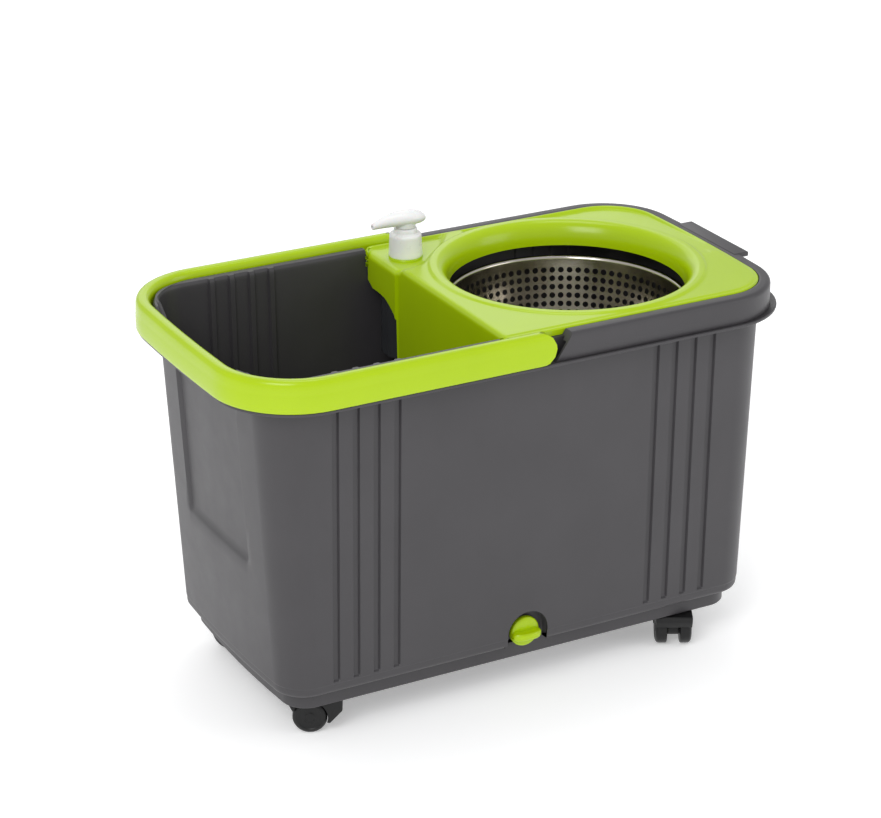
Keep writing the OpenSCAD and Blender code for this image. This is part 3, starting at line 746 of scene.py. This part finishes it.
def buildInsert():
    d = insertDims
    across, others = insertRays()
    foldRays = [math.atan2(y, d["foldX"] - d["axis"][0]) for y in across]
    rays = foldRays + [r for r in others]
    columns = []
    for ray in rays:
        c, s = math.cos(ray), math.sin(ray)
        column = []
        for i in range(11):
            a = math.radians(90 * i / 10)
            r = d["crestR"] - (d["crestR"] - d["lipR"]) * math.cos(a)
            column.append((d["axis"][0] + r * c, r * s,
                           d["lipZ"] + (d["crestZ"] - d["lipZ"]) * math.sin(a)))
        inner = reachAlong(ray, 6)
        room = inner - d["crestR"]
        ladder = [0.7 * i for i in range(1, 14)]
        squeeze = min(1, (room - 0.6) / 9.1 * 0.9)
        radii = [d["crestR"] + k * squeeze for k in ladder]
        last = radii[-1]
        radii += [last + (inner - last) * ((i / 16) ** 1.25) for i in range(1, 17)]
        radii += [reachAlong(ray, k) for k in (5.2, 4.5, 3.9, 3.2, 2.4, 1.6, 1.0, 0.5, 0.15, 0.0)]
        for r in radii:
            x, y = d["axis"][0] + r * c, r * s
            column.append((x, y, deckHeight(x, y)))
        columns.append(column)
    count = len(across)
    # outer edge turns down to the seat; the fold side carries on as the divider
    points = [p for column in columns for p in column]
    n = len(columns[0])
    faces = []
    total = len(columns)
    for i in range(total):
        k = (i + 1) % total
        for j in range(n - 1):
            faces.append((i * n + j, i * n + j + 1, k * n + j + 1, k * n + j))
    rim = list(range(count - 1, total)) + [0]
    base = len(points)
    for i in rim:
        x, y, z = columns[i][-1]
        points.append((x, y, 351.6))
        points.append((x, y, 348.7))
    for m in range(len(rim) - 1):
        i, k = rim[m], rim[m + 1]
        a, b = base + 2 * m, base + 2 * (m + 1)
        faces.append((i * n + n - 1, a, b, k * n + n - 1))
        faces.append((a, a + 1, b + 1, b))
    base = len(points)
    rowsDown = 26
    for i in range(count):
        x0, y, z0 = columns[i][-1]
        y = across[i]
        faceX = d["faceA"] + (d["faceB"] - d["faceA"]) * smoothStep((68 - y) / 2.2)
        low = pocketEdge(y)
        for j in range(1, rowsDown + 1):
            if j <= 8:
                a = math.radians(90 * j / 8)
                x, z = x0 + (faceX - x0) * math.sin(a), z0 - d["fold"] * (1 - math.cos(a))
            else:
                t = (j - 8) / (rowsDown - 8)
                x, z = faceX, z0 - d["fold"] + (low - z0 + d["fold"]) * t
            reach = 128.8 - 6.8 * smoothStep((354 - z) / 5) - (351 - z) * math.tan(math.radians(1.2))
            points.append((x, max(-reach, min(reach, y)), z))
    for i in range(count - 1):
        for j in range(rowsDown):
            a = i * n + n - 1 if j == 0 else base + i * rowsDown + j - 1
            b = (i + 1) * n + n - 1 if j == 0 else base + (i + 1) * rowsDown + j - 1
            faces.append((a, base + i * rowsDown + j, base + (i + 1) * rowsDown + j, b))
    piece = fromShape("splashInsert", points, faces)
    outward(piece, 0.00002)
    up = sum(f.normal.z * f.area for f in piece.data.polygons if f.center.z > 0.3485)
    if up < 0:
        workOn(piece)
        bpy.ops.object.mode_set(mode="EDIT")
        bpy.ops.mesh.select_all(action="SELECT")
        bpy.ops.mesh.flip_normals()
        bpy.ops.object.mode_set(mode="OBJECT")
    applied(piece, "SOLIDIFY", thickness=0.0022, offset=-1)
    return smoothed(piece, 42)


# lower edge of the bottle pocket's front wall, then the divider's own foot
def pocketEdge(y):
    edge = [(66.4, 204), (67, 304), (70, 308.6), (78, 314.2), (87.5, 318.6), (100, 320.4), (112, 320.4),
            (118.5, 321.5), (121.5, 326), (124, 338), (131, 341)]
    if y <= edge[0][0]:
        return insertDims["bottom"] + 8 * smoothStep((-112 - y) / 12)
    for (ya, za), (yb, zb) in zip(edge, edge[1:]):
        if y <= yb:
            return za + (zb - za) * (y - ya) / (yb - ya)
    return edge[-1][1]


dress(buildInsert(), "insert", limePlastic, "lime_plastic", "splash_insert")
px, py = insertDims["pump"]
boss = turned("pumpBoss", [(12.4, 350), (15.9, 350), (15.9, 352.2), (15.6, 353.6), (15.2, 353.95), (12.4, 353.95)],
              (px, py), 48, closed=True)
dress(smoothed(boss, 40), "insert", limePlastic, "lime_plastic")
print("insert made")

# wringer basket: sheet steel cells, each with a round hole
basketDims = {"axis": (110, 0), "topZ": 324, "rollR": 3, "outer": 113, "sheet": 0.7, "hole": 2.8,
              "columns": 81, "rows": 8, "plain": 6, "lastHole": 71.6}
basketLine = [(107, 321), (106.2, 314), (101, 273), (99.6, 268.4), (97, 264), (93.8, 260), (90, 257),
              (86.2, 255), (82, 254.1)]


def alongLine(line, s):
    for (ra, za), (rb, zb) in zip(line, line[1:]):
        length = math.hypot(rb - ra, zb - za)
        if s <= length:
            return ra + (rb - ra) * s / length, za + (zb - za) * s / length
        s -= length
    return line[-1]


def lineLength(line):
    return sum(math.hypot(b[0] - a[0], b[1] - a[1]) for a, b in zip(line, line[1:]))


def perforated(line, start, end, columns, rows, hole):
    points, faces = [], []
    cx, cy = basketDims["axis"]
    deep = (end - start) / rows
    ring = [math.radians(15 + 30 * k) for k in range(12)]
    for j in range(rows):
        mid = start + deep * (j + 0.5)
        radius, _ = alongLine(line, mid)
        wide = math.tau / columns
        h = min(hole, 0.39 * radius * wide)
        for i in range(columns):
            base = len(points)
            for a in ring:
                c, s = math.cos(a), math.sin(a)
                big = max(abs(c), abs(s))
                for du, dv in ((c / big * wide / 2, s / big * deep / 2), (h * c / radius, h * s)):
                    r, z = alongLine(line, mid + dv)
                    turn = wide * i + du
                    points.append((cx + r * math.cos(turn), cy + r * math.sin(turn), z))
            for k in range(12):
                m = (k + 1) % 12
                faces.append((base + 2 * k, base + 2 * m, base + 2 * m + 1, base + 2 * k + 1))
    return points, faces


def plainBand(profile, columns):
    points, faces = [], []
    cx, cy = basketDims["axis"]
    wide = math.tau / columns
    turns = [wide * (i + f) for i in range(columns) for f in (-0.5, -0.134, 0.134)]
    for r, z in profile:
        points += [(cx + r * math.cos(t), cy + r * math.sin(t), z) for t in turns]
    n = len(turns)
    for j in range(len(profile) - 1):
        for i in range(n):
            k = (i + 1) % n
            faces.append((j * n + i, j * n + k, (j + 1) * n + k, (j + 1) * n + i))
    return points, faces


def buildBasket():
    d = basketDims
    end = lineLength(basketLine)
    floorLine = [(82, 254.1), (30, 254.1)]
    roll = arc(110, 321, 3, -140, 180, 22)
    top = roll + [alongLine(basketLine, s) for s in (1, 2.5, 4, d["plain"])]
    meeting = [(82, 254.1), (80, 254.1)]
    sheets = [plainBand(top, d["columns"]),
              perforated(basketLine, d["plain"], d["lastHole"], d["columns"], d["rows"], d["hole"]),
              plainBand([alongLine(basketLine, s) for s in (d["lastHole"], 74, end)], d["columns"]),
              plainBand(meeting, 48),
              perforated(floorLine, 2, 44, 48, 5, 2.6),
              plainBand([alongLine(floorLine, 44), (34, 254.1), (30, 254.1)], 48)]
    points, faces = [], []
    for somePoints, someFaces in sheets:
        shift = len(points)
        points += somePoints
        faces += [tuple(v + shift for v in face) for face in someFaces]
    piece = outward(fromShape("spinBasket", points, faces), 0.00003)
    applied(piece, "SOLIDIFY", thickness=d["sheet"] * mm, offset=0)
    return smoothed(piece, 50)


dress(buildBasket(), "basket", basketSteel, "polished_steel", "spin_basket")

hubLine = ([(30, 254.7), (34, 254.7), (34.2, 255.6), (33.6, 257), (30, 258.2), (25, 260.4), (22, 264), (19.6, 270),
            (17.6, 282), (16, 291), (15, 296)] + arc(8.5, 296.6, 6.2, 0, 90, 8) + [(5, 302.95), (0, 302.98)])
dress(smoothed(turned("basketHub", hubLine, basketDims["axis"], 56), 50), "basket", whitePlastic, "white_plastic",
      "basket_hub")
print("basket made")

# soap pump: a smooth turned screw closure, and a teardrop head
pumpDims = {"z": 354, "high": 21.5, "r": 16, "collarR": 11, "headZ": 380.9, "topZ": 396.8}


def buildClosure():
    z = pumpDims["z"]
    line = [(12.4, z), (15.2, z), (15.5, z + 0.5), (15.4, z + 2), (14.8, z + 17.5), (14.65, z + 19.6), (14.2, z + 20.8),
            (13.2, z + 21.4), (11.4, z + 21.7), (11, z + 22.1), (10.9, z + 23), (10.8, z + 25.4), (10.3, z + 26.2),
            (9.6, z + 26.5), (4.2, z + 26.5), (4.2, z + 20), (12.4, z + 18.5)]
    piece = turned("pumpClosure", line, insertDims["pump"], 72, closed=True)
    return smoothed(piece, 40)


dress(buildClosure(), "insert", whitePlastic, "white_plastic", "pump_closure")


def buildPumpHead():
    cx, cy = insertDims["pump"]
    spine = [(-28, 1.4, 384.9, 387.1), (-33.9, 1.7, 384.5, 387.3), (-34.2, 2.4, 383.8, 388.2), (-33.9, 3, 383.3, 389),
             (-31, 3.7, 383.3, 390.4), (-26, 5, 383.3, 392.4), (-20, 6.7, 383.2, 394.3), (-13, 8.7, 383, 395.8),
             (-6, 10.2, 382.8, 396.6), (1, 10.9, 382.6, 396.8), (7, 10.8, 382.6, 396.3), (12, 9.7, 383, 395.1),
             (16, 7.6, 384, 393.2), (18.6, 4.9, 385.5, 391.2), (19.7, 2.4, 387, 389.6), (20, 0.4, 388.1, 388.6)]
    rows = []
    for x, half, low, high in spine:
        mid, tall = (low + high) / 2, (high - low) / 2
        slant = 0.35 if x < -35 else 0
        rows.append([(cx + x + slant * tall * math.sin(a), cy + half * math.cos(a),
                      mid + tall * math.sin(a) * (1 if math.sin(a) > 0 else 0.94))
                     for a in [math.tau * i / 32 for i in range(32)]])
    piece = outward(lofted("pumpHead", rows, capFirst=True, capLast=True))
    skirt = turned("pumpHeadSkirt", [(4.1, 381), (8.7, 381), (9.2, 381.4), (9.4, 383.5), (9.2, 388), (4.1, 388)],
                   (cx, cy), 40, closed=True)
    workOn(piece)
    skirt.select_set(True)
    bpy.ops.object.join()
    return smoothed(piece, 45)


dress(buildPumpHead(), "pump_press", whitePlastic, "white_plastic", "pump_head")
print("pump made")

# drain plug: a domed disc with a grip wing across it
plugDims = {"x": 4, "z": 60.6, "y": -110.35, "r": 14.3, "thick": 5, "wingHalf": 4, "wingTip": 9.8}


def buildPlug():
    d = plugDims
    line = [(0, -12), (6.2, -12), (7, -11.2), (7, 0), (13.7, 0), (14.3, 0.6), (14.3, 3.4), (13.9, 4.3), (13, 4.9),
            (9, 5.4), (4, 5.7), (0, 5.8)]
    disc = turned("drainPlug", line, (0, 0), 56)
    rows = []
    for x in (-13.9, -13.6, -12.8, -11.4, -8, -4, 0, 4, 8, 11.4, 12.8, 13.6, 13.9):
        t = abs(x) / 13.9
        half = d["wingHalf"] * math.sqrt(max(0.02, 1 - max(0, (t - 0.8) / 0.2) ** 2 * 0.75))
        tip = d["wingTip"] + 4.6 - 5.2 * max(0, (t - 0.35) / 0.65) ** 2.2
        rows.append([(x, -1.5 + half * c, 3 + (tip - 3) * s) for c, s in
                     ((-1.06, 0), (-1, 0.4), (-0.92, 0.8), (-0.75, 0.93), (-0.4, 1), (0.4, 1), (0.75, 0.93),
                      (0.92, 0.8), (1, 0.4), (1.06, 0))])
    wing = outward(lofted("plugWing", rows, capFirst=True, capLast=True))
    workOn(disc)
    wing.select_set(True)
    bpy.ops.object.join()
    turnedInto(disc, Matrix.Translation(Vector((d["x"], d["y"], d["z"])) * mm) @ Matrix.Rotation(math.pi / 2, 4, "X"))
    return smoothed(disc, 40)


dress(buildPlug(), "plug", limePlastic, "lime_plastic", "drain_plug")
print("drain plug made")

# casters: one hood and one wheel, modelled at the swivel axis with the trail along +X
casterDims = {"trail": 14, "axleZ": 15.5, "wheelR": 15.5, "half": 17, "top": 33.45, "arch": 16.3, "hubR": 7.7,
              "hubHalf": 5.5, "places": [(-180.56, -84.04, 152), (180.56, -84.04, 242), (-180.56, 84.04, 118),
                                         (180.56, 84.04, 28)]}


def buildHood():
    d = casterDims
    outline = [(32.4, 27.9), (32.5, 28.6), (32.4, 32.6), (31.6, d["top"]), (-13.9, d["top"]), (-14.9, 32.5),
               (-15, 31), (-14.9, 22.7), (-14.4, 21.8), (-4.3, 10.5), (-3.4, 10.05), (-1.7, 10.3)]
    outline += arc(d["trail"], d["axleZ"], d["arch"], 196, 22, 22)
    middle = (8, 27)
    rows = []
    for y, shrink in ((-d["half"], 0.97), (-d["half"] + 0.25, 0.988), (-d["half"] + 0.9, 1), (0, 1),
                      (d["half"] - 0.9, 1), (d["half"] - 0.25, 0.988), (d["half"], 0.97)):
        rows.append([(middle[0] + (x - middle[0]) * shrink, y, middle[1] + (z - middle[1]) * shrink)
                     for x, z in outline])
    hood = outward(lofted("casterHood", rows, capFirst=True, capLast=True))
    hub = turned("casterHub", [(0, -d["hubHalf"]), (7, -d["hubHalf"]), (d["hubR"], -4.7), (d["hubR"], 4.7),
                               (7, d["hubHalf"]), (0, d["hubHalf"])], (0, 0), 32)
    turnedInto(hub, Matrix.Translation(Vector((d["trail"], 0, d["axleZ"])) * mm) @ Matrix.Rotation(math.pi / 2, 4, "X"))
    bpy.ops.mesh.primitive_cube_add(size=1, location=(0.001, 0, 0.0245))
    block = bpy.context.object
    block.scale = (0.018, 0.0108, 0.0165)
    bpy.ops.object.transform_apply(location=True, rotation=True, scale=True)
    applied(block, "BEVEL", width=0.0012, segments=2, limit_method="ANGLE")
    workOn(hood)
    hub.select_set(True)
    block.select_set(True)
    bpy.ops.object.join()
    return smoothed(hood, 38)


def buildWheel():
    line = [(2.1, 0), (14.3, 0), (15.2, 0.4), (15.5, 1.2), (15.5, 7.9), (15.1, 9), (14.2, 9.9), (12.6, 10.7), (11.4, 10.95),
            (10.9, 10.6), (10.4, 10.3), (5.2, 10.3), (4.8, 10.6), (4.4, 10.95), (0, 11)]
    return smoothed(turned("casterWheel", line, (0, 0), 48), 38)


def placedCopy(source, name, matrix):
    piece = source.copy()
    piece.data = source.data.copy()
    piece.name = piece.data.name = name
    bpy.context.collection.objects.link(piece)
    return turnedInto(piece, matrix)


hoodMaster, wheelMaster = buildHood(), buildWheel()
for index, (x, y, heading) in enumerate(casterDims["places"], 1):
    caster = "caster_%d" % index
    spot = Matrix.Translation(Vector((x, y, 0)) * mm) @ Matrix.Rotation(math.radians(heading), 4, "Z")
    dress(placedCopy(hoodMaster, "hood%d" % index, spot), caster, blackPlastic, "black_plastic", caster + "_hood")
    for letter, side in (("a", -1), ("b", 1)):
        onAxle = Matrix.Translation(Vector((casterDims["trail"], side * 6, casterDims["axleZ"])) * mm)
        matrix = spot @ onAxle @ Matrix.Rotation(-side * math.pi / 2, 4, "X")
        dress(placedCopy(wheelMaster, "wheel%d%s" % (index, letter), matrix), "%s_roll_%s" % (caster, letter),
              blackPlastic, "black_plastic", "%s_wheel_%s" % (caster, letter))
for master in (hoodMaster, wheelMaster):
    bpy.data.objects.remove(master, do_unlink=True)
print("casters made")


# what stays as the frame made it gets a real finish
keptFinish = {"grey_plastic": greyPlastic, "lime_plastic": limePlastic, "polished_steel": basketSteel,
              "white_plastic": whitePlastic, "black_plastic": blackPlastic, "steel_pin": pinSteel,
              "smoked_plastic": smokedPlastic, "seal_rubber": sealRubber}
slotOf = {part["node"]: part["material_slot"] for part in frame["record"]["subparts"]}
for nodeName, nodePiece in frame["nodes"].items():
    nodePiece.data.materials.clear()
    nodePiece.data.materials.append(keptFinish[slotOf[nodeName]])
print("frame pieces finished")

# a pale floor, large soft lights and the camera
studio = {"floorSize": 14.0, "floorTone": 0.93, "skyTone": (0.94, 0.945, 0.955), "skyPower": 0.7,
          "azimuth": -28.37, "elevation": 23.21, "distance": 2.5888, "lens": 116.83,
          "aim": (-0.01297, 0.00716, 0.2352), "shiftX": -0.004, "shiftY": 0.0}


def buildStudio():
    nothingSelected()
    bpy.ops.mesh.primitive_plane_add(size=studio["floorSize"], location=(0, 0, -0.0004))
    floor = bpy.context.object
    floor.name = floor.data.name = "floor"
    shade = Shade("paleFloor")
    tone = shade.noise(0.6, 2)
    colour = shade.blend(tone, (studio["floorTone"],) * 3 + (1,), (studio["floorTone"] * 1.03,) * 3 + (1,))
    floor.data.materials.append(shade.finish(base_color=colour, roughness=0.85,
                                             emission_color=(1, 1, 1, 1), emission_strength=0.3))
    world = bpy.data.worlds.new("studioAir")
    bpy.context.scene.world = world
    world.use_nodes = True
    air = world.node_tree.nodes["Background"]
    air.inputs["Color"].default_value = (*studio["skyTone"], 1)
    air.inputs["Strength"].default_value = studio["skyPower"]
    for name, place, size, power in (("keyLight", (-1.9, -1.7, 2.3), 1.5, 38),
                                     ("fillLight", (2.3, -2.2, 1.3), 1.6, 14),
                                     ("topLight", (0.2, 0.4, 2.6), 1.0, 9),
                                     ("backLight", (0.9, 3.2, 2.2), 2.6, 17)):
        lamp = bpy.data.lights.new(name, "AREA")
        lamp.shape = "SQUARE"
        lamp.size = size
        lamp.energy = power
        holder = bpy.data.objects.new(name, lamp)
        holder.location = place
        holder.rotation_euler = (Vector((0, 0, 0.2)) - Vector(place)).to_track_quat("-Z", "Y").to_euler()
        bpy.context.collection.objects.link(holder)


def buildCamera():
    a, e = math.radians(studio["azimuth"]), math.radians(studio["elevation"])
    back = Vector((math.sin(a) * math.cos(e), -math.cos(a) * math.cos(e), math.sin(e)))
    camera = bpy.data.cameras.new("camera")
    camera.lens = studio["lens"]
    camera.sensor_width = 36
    camera.shift_x, camera.shift_y = studio["shiftX"], studio["shiftY"]
    camera.clip_start, camera.clip_end = 0.05, 60
    holder = bpy.data.objects.new("camera", camera)
    holder.location = Vector(studio["aim"]) + back * studio["distance"]
    holder.rotation_euler = (-back).to_track_quat("-Z", "Y").to_euler()
    bpy.context.collection.objects.link(holder)
    bpy.context.scene.camera = holder


buildStudio()
buildCamera()
scene = bpy.context.scene
scene.view_settings.view_transform = "Standard"
print("studio ready")
